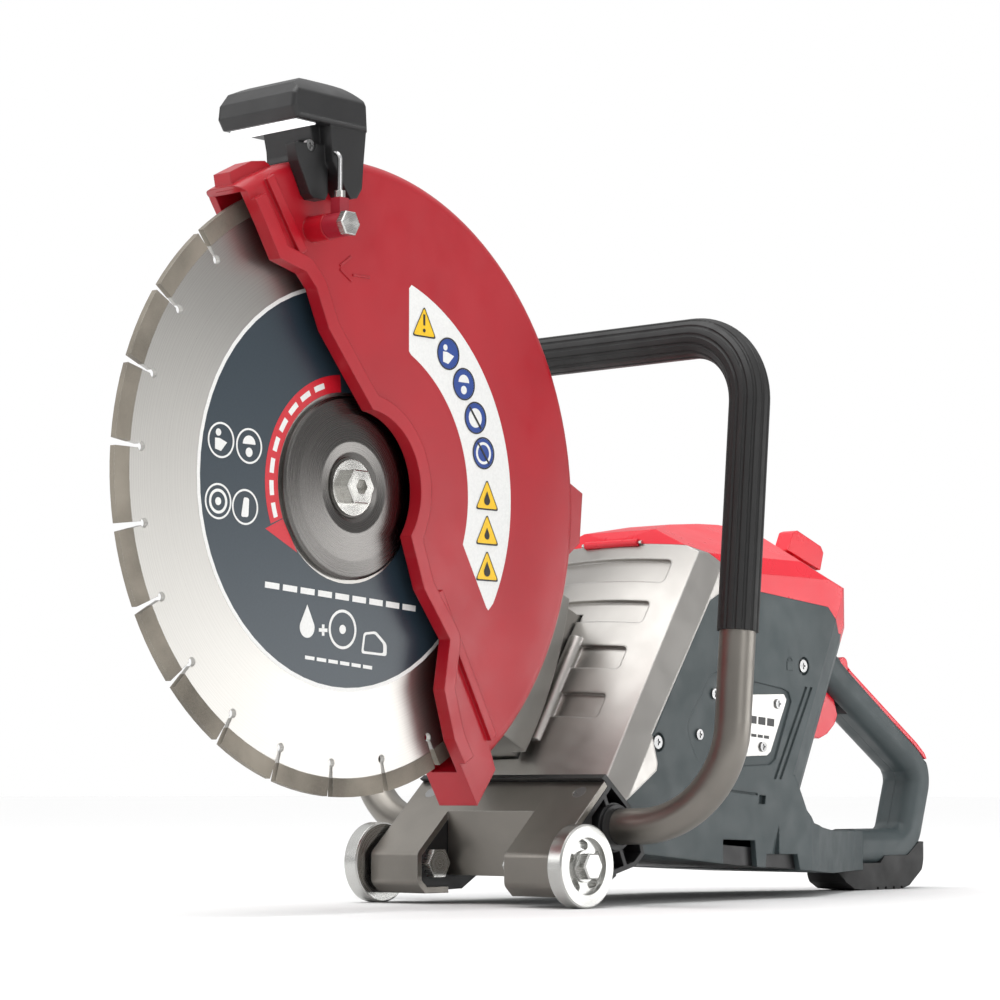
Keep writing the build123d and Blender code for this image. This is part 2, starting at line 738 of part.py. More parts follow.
def housing(name, half):
    """One half of the slate body shell, with its side panel and screw seats."""
    with BuildPart() as piece:
        add(OUTER)
        add(INNER, mode=Mode.SUBTRACT)
        add(region(LID_REGION), mode=Mode.SUBTRACT)
        add(region(COVER_REGION), mode=Mode.SUBTRACT)
        add(tongue())
        slab([(62, 10), (62, 45), (172, 45), (172, 10)], -69.9, 69.9, Mode.SUBTRACT)
        add(handle_form(), mode=Mode.SUBTRACT)
        split(bisect_by=Plane.YZ, keep=Keep.TOP)
        outer = BODY_HALF
        slab(PANEL, outer - 1.2, outer + 1, Mode.SUBTRACT, corner=1.5)
        slab([(80, 10), (80, 39), (114, 38), (117, 10)], 60, outer + 1, Mode.SUBTRACT)
        slab([(124, 10), (126, 29), (160, 28.5), (165, 10)], 60, outer + 1, Mode.SUBTRACT)
        slab([(170, 138), (172.5, 137.5), (137, 77), (134.5, 77.5)], outer - 1.2, outer + 1, Mode.SUBTRACT)
        slab([(176, 138), (178.5, 137.5), (143, 77), (140.5, 77.5)], outer - 1.2, outer + 1, Mode.SUBTRACT)
        slab([(80, 69.8), (80, 71), (117, 68), (117, 66.8)], outer - 0.8, outer + 1, Mode.SUBTRACT)
        slab([(118, 61.5), (119, 67), (126, 66.5), (125, 61)], outer - 3, outer + 1, Mode.SUBTRACT)
        for point in HOUSING_SCREWS[:2]:
            rod(point, 6, outer - 2.2, outer + 1, Mode.SUBTRACT)
        side_screw_holes(HOUSING_SCREWS + PLATE_SCREWS, outer - 5, outer)
        if half < 0:
            mirror(about=Plane.YZ, mode=Mode.REPLACE)
    save(piece, name)


def tongue():
    """Lower tail of the body, narrowing back to the rear handle."""
    with BuildPart() as form:
        slab(TONGUE, -BODY_HALF, BODY_HALF)
        with BuildSketch(Plane.XY) as plan:
            with BuildLine():
                Polyline((-BODY_HALF, 140), (-BODY_HALF, 176), (-70, 190), (-24, 296), (-GRIP_HALF, 318),
                         (GRIP_HALF, 318), (24, 296), (70, 190), (BODY_HALF, 176), (BODY_HALF, 140),
                         close=True)
            make_face()
        extrude(plan.sketch, amount=100, mode=Mode.INTERSECT)
        add(OUTER, mode=Mode.SUBTRACT)
    return form.part


def side_screws(name, points, head_r, head, shank_low):
    """Pan-head screws along X on both sides of the body."""
    low, high = head
    with BuildPart() as piece:
        for point in points:
            rod(point, 2, shank_low, low)
            rod(point, head_r, low, high)
            cross_head(point, high - 0.8, high)
        both_sides()
    save(piece, name)


def nameplates():
    with BuildPart() as piece:
        slab(NAMEPLATE, BODY_HALF - 1.2, BODY_HALF - 0.4, corner=1.2)
        side_screw_holes(PLATE_SCREWS, BODY_HALF - 2, BODY_HALF)
        both_sides()
    save(piece, "nameplates")


def base_tray():
    """Black underside between the housings."""
    with BuildPart() as piece:
        slab([(62.2, 26), (62.2, 37), (171.8, 30), (171.8, 18.2), (98, 22.4)], -69.8, 69.8)
    save(piece, "base_tray")


def battery_pack():
    """Battery block with a stepped contact end."""
    with BuildPart() as piece:
        block((-38, 104, 96), (38, 198, 190))
        fillet(piece.edges().filter_by(Axis.Z), 6)
        block((-24, 104, 88), (24, 160, 96))
    save(piece, "battery_pack")


def controller_board():
    """Circuit board with a heat sink below and the battery's blade contacts above."""
    with BuildPart() as piece:
        block((-50, 104, 56), (50, 172, 59))
        block((-24, 106, 59), (24, 150, 80))
        block((-44, 110, 48), (44, 166, 56))
        for x in (-16, -6, 6, 16):
            block((x - 1, 112, 80), (x + 1, 140, 88))
    save(piece, "controller_board")


# ---------------------------------------------------------------- rear handle

HANDLE_PATH = [(0, 252, 176.6), (0, 390, 93), (0, 398.5, 80), (0, 384, 38), (0, 372, 29.8), (0, 318, 29.8)]


def on_bar(along, above):
    """Side-view point beside the handle's upper bar: along its middle line, and above it."""
    return (262 + 0.855 * along + 0.519 * above, 170.6 - 0.519 * along + 0.855 * above)



def handle_form():
    """C-shaped loop behind the body: a rounded bar bent round the finger space."""
    with BuildPart() as form:
        with BuildLine() as path:
            FilletPolyline(*HANDLE_PATH, radius=18)
        with BuildSketch(Plane(origin=path.line @ 0, x_dir=(1, 0, 0), z_dir=path.line % 0)) as section:
            RectangleRounded(2 * GRIP_HALF, GRIP_THICK, GRIP_ROUND)
        sweep(section.sketch, path=path.line)
    return form.part


FOOT = [(290, 14.3), (298, 6), (308, 1.2), (325, 0), (366, 0), (376, 2.5), (392, 13.4), (404, 33.3),
        (388, 33), (374, 24), (345, 24), (340, 19), (290, 19)]
LEVER_SEAT = [on_bar(34, 7.5), on_bar(47, 6.5), on_bar(146, 4.4), on_bar(159, 2), on_bar(163, 2),
              on_bar(163, 25), on_bar(34, 25)]
LEVER_CAP = [on_bar(47.6, 7), on_bar(47.6, 11.7), on_bar(146, 11.7), on_bar(156, 10.8), on_bar(162, 7.4),
             on_bar(160.5, 6.2), on_bar(144, 7.6)]
LEVER_WEB = [on_bar(41, 7), on_bar(41, 12.5), on_bar(50, 11.7), on_bar(50, 7)]
KNUCKLE_NECK = [on_bar(38, 3), on_bar(38, 9), on_bar(43.5, 9), on_bar(46, 5), on_bar(46, 2)]
TRIGGER_SLOT = [on_bar(3, 2), on_bar(37, 2), on_bar(41, -2.5), (314, 134), (314, 105), (266, 105)]
HANDLE_SCREWS = [(345, 114), (397, 82), (388, 50), (340, 30)]


def handle_half(name, keep):
    with BuildPart() as piece:
        add(handle_form())
        slab(LEVER_SEAT, -GRIP_HALF - 1, GRIP_HALF + 1, Mode.SUBTRACT)
        rod(LEVER_AXIS, BARREL_R + 0.5, -BARREL_HALF - 0.3, BARREL_HALF + 0.3, Mode.SUBTRACT)
        rod(LEVER_AXIS, BARREL_R - 0.3, -KNUCKLE_X, KNUCKLE_X)
        slab(KNUCKLE_NECK, -KNUCKLE_X, KNUCKLE_X)
        slab(TRIGGER_SLOT, -6.6, 6.6, Mode.SUBTRACT)
        slab([(317, 124), (317, 138), (331, 129.5), (331, 115.5)], -7, 7, Mode.SUBTRACT)
        rod(TRIGGER_AXIS, 2, -13, 13, Mode.SUBTRACT)
        rod(LEVER_AXIS, 1.8, -9, 9, Mode.SUBTRACT)
        for point in HANDLE_SCREWS:
            rod(point, 1.6, -13, 11, Mode.SUBTRACT)
            rod(point, 3.2, -GRIP_HALF - 1, -13, Mode.SUBTRACT)
        split(bisect_by=Plane.YZ, keep=keep)
    save(piece, name)


def handle_screws():
    with BuildPart() as piece:
        for point in HANDLE_SCREWS:
            rod(point, 1.6, -13, 11)
            rod(point, 3.2, -15.4, -13)
            cross_head(point, -15.4, -14.6)
    save(piece, "handle_screws")


def trigger():
    with BuildPart() as piece:
        slab([(277, 150), (279, 156), (289, 156), (292, 150), (297, 137), (302.5, 123), (299, 116.5),
              (290, 109.5), (280, 106), (273, 107.5), (271.5, 112), (275, 120), (277, 134)], -6.2, 6.2)
        fillet(piece.edges().filter_by(Axis.X), 1.2)
        rod(TRIGGER_AXIS, 2.04, -7, 7, Mode.SUBTRACT)
    save(piece, "trigger")


def handle_pins():
    """Pivot pins of the trigger and of the lock lever."""
    with BuildPart() as piece:
        rod(TRIGGER_AXIS, 2, -12.9, 12.9)
        rod(LEVER_AXIS, 1.8, -8.9, 8.9)
    save(piece, "handle_pins")


def lock_lever():
    """Long lever on top of the handle, pressed by the palm."""
    with BuildPart() as piece:
        slab(LEVER_CAP, -LEVER_HALF, LEVER_HALF)
        top = piece.edges().filter_by(lambda edge: edge.length > 60 and edge.center().Z > 129)
        fillet(top, 2)
        slab(LEVER_WEB, -BARREL_HALF, BARREL_HALF)
        rod(LEVER_AXIS, BARREL_R, -BARREL_HALF, BARREL_HALF)
        rod(LEVER_AXIS, BARREL_R + 0.1, -KNUCKLE_X - 0.3, KNUCKLE_X + 0.3, Mode.SUBTRACT)
        rod(LEVER_AXIS, 1.84, -9, 9, Mode.SUBTRACT)
    save(piece, "lock_lever")


def trigger_switch():
    with BuildPart() as piece:
        slab([(317.2, 124.2), (317.2, 137.6), (330.8, 129.3), (330.8, 116)], -6.8, 6.8)
    save(piece, "trigger_switch")


def rubber_foot():
    """Grooved rubber shoe under the rear handle."""
    with BuildPart() as piece:
        slab(FOOT, -16, 16)
        with BuildSketch(Plane.XY) as plan:
            with Locations((0, 345)):
                RectangleRounded(32, 118, 14)
        extrude(plan.sketch, amount=40, mode=Mode.INTERSECT)
        add(handle_form(), mode=Mode.SUBTRACT)
        add(tongue(), mode=Mode.SUBTRACT)
        for y in (336, 346, 356, 366):
            block((-20, y - 1.2, -1), (20, y + 1.2, 2), Mode.SUBTRACT)
    save(piece, "rubber_foot")


# ---------------------------------------------------------------- front handle

LOWER_CORNER = (HANDLE_X, -17.0, 49.5)
UPPER_CORNER = (HANDLE_X, 12.0, 348.5)


def toward(start, end, distance):
    """Point at a distance from the start along the line to the end."""
    line = Vector(end) - Vector(start)
    return Vector(start) + line.normalized() * distance


def handle_path(start):
    """One side of the handle, from its start up round both bends to the middle."""
    low_reach, high_reach = 60, 45
    low_in = toward(LOWER_CORNER, (53, *SOCKET), low_reach)
    low_out = toward(LOWER_CORNER, UPPER_CORNER, low_reach)
    high_in = toward(UPPER_CORNER, LOWER_CORNER, high_reach)
    high_out = Vector(UPPER_CORNER) - Vector(high_reach, 0, 0)
    top = Vector(0, UPPER_CORNER[1], UPPER_CORNER[2])
    rise = (Vector(UPPER_CORNER) - Vector(LOWER_CORNER)).normalized()
    with BuildLine() as path:
        if start == "socket":
            Line((53, *SOCKET), low_in)
            TangentArc(low_in, low_out, tangent=low_in - Vector(53, *SOCKET))
            Line(low_out, high_in)
        else:
            Line(toward(LOWER_CORNER, UPPER_CORNER, 116), high_in)
        TangentArc(high_in, high_out, tangent=rise)
        Line(high_out, top)
    return path.line


def swept(path, radii, grooves=0):
    """Tube along a path, given its outer and inner radius."""
    with BuildSketch(Plane(origin=path @ 0, z_dir=path % 0)) as ring:
        Circle(radii[0])
        if grooves:
            with PolarLocations(radii[0] + 0.4, grooves):
                Circle(1.3, mode=Mode.SUBTRACT)
        Circle(radii[1], mode=Mode.SUBTRACT)
    sweep(ring.sketch, path=path, transition=Transition.ROUND)


def handle_tube():
    with BuildPart() as piece:
        swept(handle_path("socket"), (TUBE_R, TUBE_R - TUBE_WALL))
        both_sides()
    save(piece, "handle_tube")


def handle_sleeve():
    with BuildPart() as piece:
        swept(handle_path("sleeve"), (SLEEVE_R, TUBE_R + 0.02), grooves=14)
        both_sides()
    save(piece, "handle_sleeve")


# ---------------------------------------------------------------- wheel bracket

SCREW_AT = (61.0, -46.0, 68.8)


def wheel_bracket():
    """Ribbed plastic carrier under the front of the body."""
    inner = BRACKET_HALF - 13
    with BuildPart() as piece:
        slab(BRACKET, 0, BRACKET_HALF)
        slab(BRACKET_ARM, LEG_X[0] + 0.4, LEG_X[1])
        with BuildSketch(side(inner)) as pockets:
            with BuildLine():
                Polyline(*BRACKET, close=True)
            make_face()
            offset(amount=-3)
            with Locations(SOCKET):
                Circle(15, mode=Mode.SUBTRACT)
                Rectangle(3, 80, rotation=25, mode=Mode.SUBTRACT)
                Rectangle(3, 80, rotation=-50, mode=Mode.SUBTRACT)
        extrude(pockets.sketch, amount=13, mode=Mode.SUBTRACT)
        rod(SOCKET, 14, BRACKET_HALF - 1, BRACKET_HALF + 2.5)
        with BuildSketch(Plane(origin=(53, *SOCKET), z_dir=(HANDLE_X - 53, 13, 2))) as bore:
            Circle(TUBE_R + 0.02)
        extrude(bore.sketch, amount=40, mode=Mode.SUBTRACT)
        rod(AXLE_AXIS, 9, LEG_X[1], WHEEL_X[0] - 0.1)
        rod(AXLE_AXIS, BOLT_R, 30, 80, Mode.SUBTRACT)
        plate_screw_shapes(Mode.SUBTRACT)
        both_sides()
    save(piece, "wheel_bracket")


def plate_screw_shapes(mode=Mode.ADD):
    """Countersunk screw square to the sloping plate."""
    x, y, z = SCREW_AT
    slope = Plane(origin=(x, y, z), z_dir=(0, -43.8, 47.4))
    with BuildSketch(slope.offset(-14)) as shank:
        Circle(2)
    extrude(shank.sketch, amount=14, mode=mode)
    with BuildSketch(slope.offset(-1.6)) as head:
        Circle(4.5)
    extrude(head.sketch, amount=1.6, mode=mode)


def plate_screws():
    with BuildPart() as piece:
        plate_screw_shapes()
        both_sides()
    save(piece, "plate_screws")


def wheel_plate():
    """Formed steel plate: sloping top, two curled legs and a middle apron."""
    with BuildPart() as piece:
        with BuildSketch(side(LEG_X[0])) as leg:
            with BuildLine():
                Polyline((-39, 75.3), (-86.4, 31.5), (-86.4, 13), (-79, 6.5), (-58, 6.5), (-58, 10.5),
                         (-77.4, 10.5), (-82.4, 14.8), (-82.4, 29.8), (-36.3, 72.4), close=True)
            make_face()
            fillet(leg.vertices().sort_by(Axis.X)[:2], 5)
        extrude(leg.sketch, amount=LEG_X[1] - LEG_X[0])
        slab([(-39, 75.3), (-58.5, 57.3), (-58.5, 17.5), (-54.5, 17.5), (-54.5, 55.6), (-36.3, 72.4)],
             0, LEG_X[0])
        plate_screw_shapes(Mode.SUBTRACT)
        x, y, z = SCREW_AT
        lift = Plane(origin=(x, y, z), z_dir=(0, -43.8, 47.4))
        with BuildSketch(lift) as clear:
            Circle(4.5)
        extrude(clear.sketch, amount=3, mode=Mode.SUBTRACT)
        both_sides()
    save(piece, "wheel_plate")


def wheel(name, mirrored):
    """Steel wheel with a dished outer face and five pockets."""
    low, high = WHEEL_X
    dish = high - 3.2
    with BuildPart() as piece:
        rod(AXLE_AXIS, WHEEL_R, low, high)
        chamfer(piece.edges().filter_by(GeomType.CIRCLE), 1)
        rod(AXLE_AXIS, 17, dish, high, Mode.SUBTRACT)
        with BuildSketch(side(dish - 3)) as pockets:
            with Locations(AXLE_AXIS):
                with PolarLocations(13, 5, start_angle=20):
                    SlotCenterToCenter(4, 5, rotation=65)
        extrude(pockets.sketch, amount=3, mode=Mode.SUBTRACT)
        rod(AXLE_AXIS, BOLT_R + 0.05, low, high, Mode.SUBTRACT)
        if mirrored:
            mirror(about=Plane.YZ, mode=Mode.REPLACE)
    save(piece, name)


def axle_bolts():
    seat = WHEEL_X[1] - 3.1
    with BuildPart() as piece:
        rod(AXLE_AXIS, BOLT_R, 30, seat)
        rod(AXLE_AXIS, 9.5, seat, seat + 1.6)
        hexagon(AXLE_AXIS, 15, seat + 1.6, seat + 8)
        chamfer(piece.faces().sort_by(Axis.X)[-1].edges(), 0.8)
        both_sides()
    save(piece, "axle_bolts")


def axle_nuts():
    with BuildPart() as piece:
        hexagon(AXLE_AXIS, 17, 30, LEG_X[0] + 0.4)
        rod(AXLE_AXIS, BOLT_R, 30, LEG_X[0] + 0.4, Mode.SUBTRACT)
        both_sides()
    save(piece, "axle_nuts")


blade_disc()
blade_segments()
inner_flange()
outer_flange()
arbor_washer()
arbor_bolt()
spindle()
spindle_bearings()
pulley("spindle_pulley", BLADE_AXIS, SPINDLE_PULLEY_R, SPINDLE_R)
pulley("motor_pulley", MOTOR_AXIS, MOTOR_PULLEY_R, SHAFT_R)
belt()
spindle_nut()
guard_shell()
guard_ring()
guard_ring_screws()
lamp_grip()
lamp_lens()
grip_screw()
water_bolt()
water_elbow()
water_ferrule()
water_pipe()
arm_housing()
arm_cover()
arm_cover_screws()
motor_case()
motor_stator()
motor_rotor()
motor_bearings()
cooling_fan()
front_cover()
lid_hinge_pin()
top_lid()
lid_latch()
housing("housing_left", 1)
housing("housing_right", -1)
side_screws("housing_screws", HOUSING_SCREWS[:2], 4.2, (71.8, 73.8), 62)
side_screws("panel_screws", HOUSING_SCREWS[2:], 3.4, (72.8, 74.2), 68)
side_screws("nameplate_screws", PLATE_SCREWS, 3.2, (73.6, 74.8), 68)
nameplates()
base_tray()
battery_pack()
controller_board()
handle_half("handle_left", Keep.TOP)
handle_half("handle_right", Keep.BOTTOM)
handle_screws()
trigger()
handle_pins()
lock_lever()
trigger_switch()
rubber_foot()
handle_tube()
handle_sleeve()
wheel_bracket()
plate_screws()
wheel_plate()
wheel("wheel_left", False)
wheel("wheel_right", True)
axle_bolts()
axle_nuts()
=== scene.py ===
"""Looks, labels, light and camera for the battery rescue saw. Lengths are metres."""
import json
import math

import bmesh
import bpy
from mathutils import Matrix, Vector


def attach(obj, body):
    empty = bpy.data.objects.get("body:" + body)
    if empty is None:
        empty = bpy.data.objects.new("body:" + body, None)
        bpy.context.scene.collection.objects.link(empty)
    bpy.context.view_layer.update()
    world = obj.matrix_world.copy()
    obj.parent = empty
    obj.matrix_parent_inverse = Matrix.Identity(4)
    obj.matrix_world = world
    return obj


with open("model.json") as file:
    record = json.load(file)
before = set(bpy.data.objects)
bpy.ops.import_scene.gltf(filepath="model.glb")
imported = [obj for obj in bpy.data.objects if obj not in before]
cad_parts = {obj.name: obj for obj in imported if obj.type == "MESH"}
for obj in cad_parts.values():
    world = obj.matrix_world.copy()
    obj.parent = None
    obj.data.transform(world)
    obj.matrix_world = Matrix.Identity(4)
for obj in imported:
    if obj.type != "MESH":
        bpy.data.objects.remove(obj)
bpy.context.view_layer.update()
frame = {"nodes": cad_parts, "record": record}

# Places shared with the CAD model
BLADE_CENTRE = (-0.237, 0.241)
BLADE_FACE_X = 0.0486
GUARD_FACE_X = 0.062
NAMEPLATE_FACE_X = 0.0736
BODY_FACE_X = 0.074
WHEEL_CENTRE = (-0.072, 0.025)

# Thickness of printed film, and of marks raised from a moulding or casting
PRINT_THICK = 0.0001
ARROW_THICK = 0.0006
LOCK_THICK = 0.0003

# Blade label: radii about the blade's axis, angles in degrees, places in the side view
LABEL_INNER, LABEL_OUTER, LABEL_RIM = 0.0545, 0.1135, 0.1158
ARROW_INNER, ARROW_OUTER = 0.0546, 0.0645
ARROW_START, ARROW_END = 95, 202
ARROW_HEAD = [(0.0695, 203), (0.0552, 225), (0.0546, 202.5)]
ARROW_DASH_INNER, ARROW_DASH_OUTER = 0.0580, 0.0612
ARROW_DASH_LENGTH = 8
BLADE_SIGNS = [(-0.3351, 0.2601), (-0.3139, 0.2586), (-0.3369, 0.2265), (-0.3166, 0.2247)]
DROP_PLACE = (-0.268, 0.1605)
PLUS_PLACE = (-0.2553, 0.1595)
SMALL_BLADE_PLACE = (-0.2397, 0.1605)
SMALL_SAW_PLACE = (-0.2165, 0.1535)

# Guard label: each place is a radius and an angle about the blade's axis
GUARD_CIRCLES = [(0.1094, 49.6), (0.1077, 38.3), (0.1061, 26.7), (0.1055, 15.0)]
GUARD_TRIANGLES = [(0.1116, 63.3), (0.1051, 1.5), (0.1066, -9.7), (0.1122, -20.5)]
GUARD_DISC_RADIUS = 0.0088

# Camera
CAMERA_PLACE = (1.2680, -1.4877, 0.0695)
CAMERA_AZIMUTH = 41.406
CAMERA_ELEVATION = -5.393
CAMERA_LENS = 111.0
SENSOR_WIDTH = 36.0

# Floor, light and world. Each area light has a place, a target, a size and a power in watts.
FLOOR_HALF = 30.0
SUN_DIRECTION = (0.15, 0.35, -1.0)
SUN_STRENGTH = 1.3
SUN_SOFTNESS = 60
AREA_LIGHTS = {
    "key_top": ((0.2, -0.5, 2.2), (0, 0, 0.2), (1.6, 1.6), 16),
    "front_left": ((-1.6, -2.4, 1.3), (0, -0.1, 0.2), (1.0, 1.4), 12),
    "right_fill": ((2.6, -0.4, 1.0), (0, 0, 0.2), (1.2, 1.2), 10),
    "low_back": ((1.9, 1.9, 0.12), (0, -0.2, 0.15), (1.8, 0.5), 14),
}
HORIZON_LIGHT = 0.28
FULL_LIGHT_HEIGHT = 0.9

# Noise scales shared by the materials
TONE_SCALE = 18
GLOSS_SCALE = 60
PRINT_SCALE = 700


def linear(red, green, blue):
    """Screen colour from 0 to 255, as the linear colour that shaders use."""
    scaled = [c / 255 for c in (red, green, blue)]
    return (*[c / 12.92 if c < 0.04045 else ((c + 0.055) / 1.055) ** 2.4 for c in scaled], 1.0)


# ------------------------------------------------------------------ materials

class Shader:
    """A material's node tree, with short calls for the nodes used here."""

    def __init__(self, name):
        self.material = bpy.data.materials.new(name)
        self.material.use_nodes = True
        self.tree = self.material.node_tree
        self.main = self.tree.nodes["Principled BSDF"]

    def add(self, kind, **settings):
        node = self.tree.nodes.new(kind)
        for key, value in settings.items():
            setattr(node, key, value)
        return node

    def join(self, source, target):
        self.tree.links.new(source, target)

    def place(self, stretch=(1, 1, 1)):
        """The piece's own coordinates, in metres, stretched along each axis."""
        spot = self.add("ShaderNodeTexCoord")
        scale = self.add("ShaderNodeMapping")
        scale.inputs["Scale"].default_value = stretch
        self.join(spot.outputs["Object"], scale.inputs["Vector"])
        return scale.outputs["Vector"]

    def noise(self, vector, scale, detail=3.0):
        node = self.add("ShaderNodeTexNoise")
        node.inputs["Scale"].default_value = scale
        node.inputs["Detail"].default_value = detail
        self.join(vector, node.inputs["Vector"])
        return node.outputs["Fac"]

    def remap(self, value, low, high, to_low=0.0, to_high=1.0):
        node = self.add("ShaderNodeMapRange")
        for key, number in zip(("From Min", "From Max", "To Min", "To Max"), (low, high, to_low, to_high)):
            node.inputs[key].default_value = number
        self.join(value, node.inputs["Value"])
        return node.outputs["Result"]

    def maths(self, operation, *values):
        node = self.add("ShaderNodeMath", operation=operation)
        for socket, value in zip(node.inputs, values):
            if isinstance(value, (int, float)):
                socket.default_value = value
            else:
                self.join(value, socket)
        return node.outputs["Value"]

    def mix(self, factor, first, second):
        node = self.add("ShaderNodeMix", data_type="RGBA")
        for socket, value in zip((node.inputs[0], node.inputs[6], node.inputs[7]), (factor, first, second)):
            if isinstance(value, bpy.types.NodeSocket):
                self.join(value, socket)
            else:
                socket.default_value = value
        return node.outputs[2]

    def bump(self, height, distance, normal=None):
        node = self.add("ShaderNodeBump")
        node.inputs["Distance"].default_value = distance
        self.join(height, node.inputs["Height"])
        if normal is not None:
            self.join(normal, node.inputs["Normal"])
        return node.outputs["Normal"]

    def soft_edges(self, radius):
        node = self.add("ShaderNodeBevel", samples=4)
        node.inputs["Radius"].default_value = radius
        return node.outputs["Normal"]

    def edge_mask(self, rounded):
        """1 on sharp edges and 0 on flat faces."""
        flat = self.add("ShaderNodeNewGeometry")
        product = self.add("ShaderNodeVectorMath", operation="DOT_PRODUCT")
        self.join(rounded, product.inputs[0])
        self.join(flat.outputs["Normal"], product.inputs[1])
        return self.remap(product.outputs["Value"], 0.985, 0.85)

    def radius(self, centre):
        """Distance from an axis along X, in metres."""
        spot = self.add("ShaderNodeTexCoord")
        parts = self.add("ShaderNodeSeparateXYZ")
        self.join(spot.outputs["Object"], parts.inputs["Vector"])
        across = self.maths("SUBTRACT", parts.outputs["Y"], centre[0])
        up = self.maths("SUBTRACT", parts.outputs["Z"], centre[1])
        squares = self.maths("ADD", self.maths("MULTIPLY", across, across), self.maths("MULTIPLY", up, up))
        return self.maths("SQRT", squares)

    def set(self, **values):
        for key, value in values.items():
            socket = self.main.inputs[key.replace("_", " ")]
            if isinstance(value, bpy.types.NodeSocket):
                self.join(value, socket)
            else:
                socket.default_value = value


def surface(name, colour, rough, metal=0.0, grain=900, grain_depth=0.00002, stretch=(1, 1, 1),
            shade=0.12, edge=0.0, edge_colour=(0.8, 0.8, 0.8, 1), round_edge=0.0006, **extra):
    """Surface with a fine grain, slow colour and gloss changes, rounded edges and edge wear."""
    s = Shader(name)
    rounded = s.soft_edges(round_edge)
    here = s.place(stretch)
    slow = s.noise(s.place(), TONE_SCALE, 4)
    fine = s.noise(here, grain, 4)
    darker = tuple(c * (1 - shade) for c in colour[:3]) + (1,)
    lighter = tuple(min(1, c * (1 + shade)) for c in colour[:3]) + (1,)
    tone = s.mix(s.remap(slow, 0.35, 0.65), darker, lighter)
    speckle = s.mix(s.remap(fine, 0.3, 0.7, 0, shade), tone, lighter)
    if edge > 0:
        worn = s.maths("MULTIPLY", s.edge_mask(rounded), s.remap(fine, 0.35, 0.6, 0, edge))
        speckle = s.mix(worn, speckle, edge_colour)
    rough_here = s.remap(s.noise(s.place(), GLOSS_SCALE, 5), 0.3, 0.7, rough * 0.85, min(1, rough * 1.15))
    s.set(Base_Color=speckle, Roughness=rough_here, Metallic=metal,
          Normal=s.bump(fine, grain_depth, rounded), **extra)
    return s.material


def turned_metal(name, colour, rough, centre, ring=2500, depth=0.00001, round_edge=0.0005):
    """Metal turned on a lathe: fine rings about its axis."""
    s = Shader(name)
    rounded = s.soft_edges(round_edge)
    along = s.maths("MULTIPLY", s.radius(centre), ring)
    rings = s.add("ShaderNodeTexNoise", noise_dimensions="1D")
    rings.inputs["Scale"].default_value = 1.0
    rings.inputs["Detail"].default_value = 3.0
    s.join(along, rings.inputs["W"])
    slow = s.noise(s.place(), 25, 3)
    dark = tuple(c * 0.86 for c in colour[:3]) + (1,)
    tone = s.mix(s.remap(rings.outputs["Fac"], 0.3, 0.7), dark, colour)
    spotted = s.mix(s.remap(slow, 0.4, 0.7, 0, 0.25), tone, dark)
    sheen = s.add("ShaderNodeTangent", direction_type="RADIAL", axis="X")
    gloss = s.remap(rings.outputs["Fac"], 0.2, 0.8, rough * 0.8, rough)
    s.set(Base_Color=spotted, Metallic=1.0, Roughness=gloss,
          Anisotropic=0.6, Tangent=sheen.outputs["Tangent"],
          Normal=s.bump(rings.outputs["Fac"], depth, rounded))
    return s.material


def flat_print(name, colour, rough=0.35):
    """Printed ink or label film with a faint mottled texture."""
    s = Shader(name)
    mottle = s.noise(s.place(), PRINT_SCALE, 3)
    paler = tuple(min(1, c * 1.08 + 0.002) for c in colour[:3]) + (1,)
    s.set(Base_Color=s.mix(s.remap(mottle, 0.3, 0.7), colour, paler), Roughness=rough,
          Normal=s.bump(mottle, 0.000008))
    return s.material


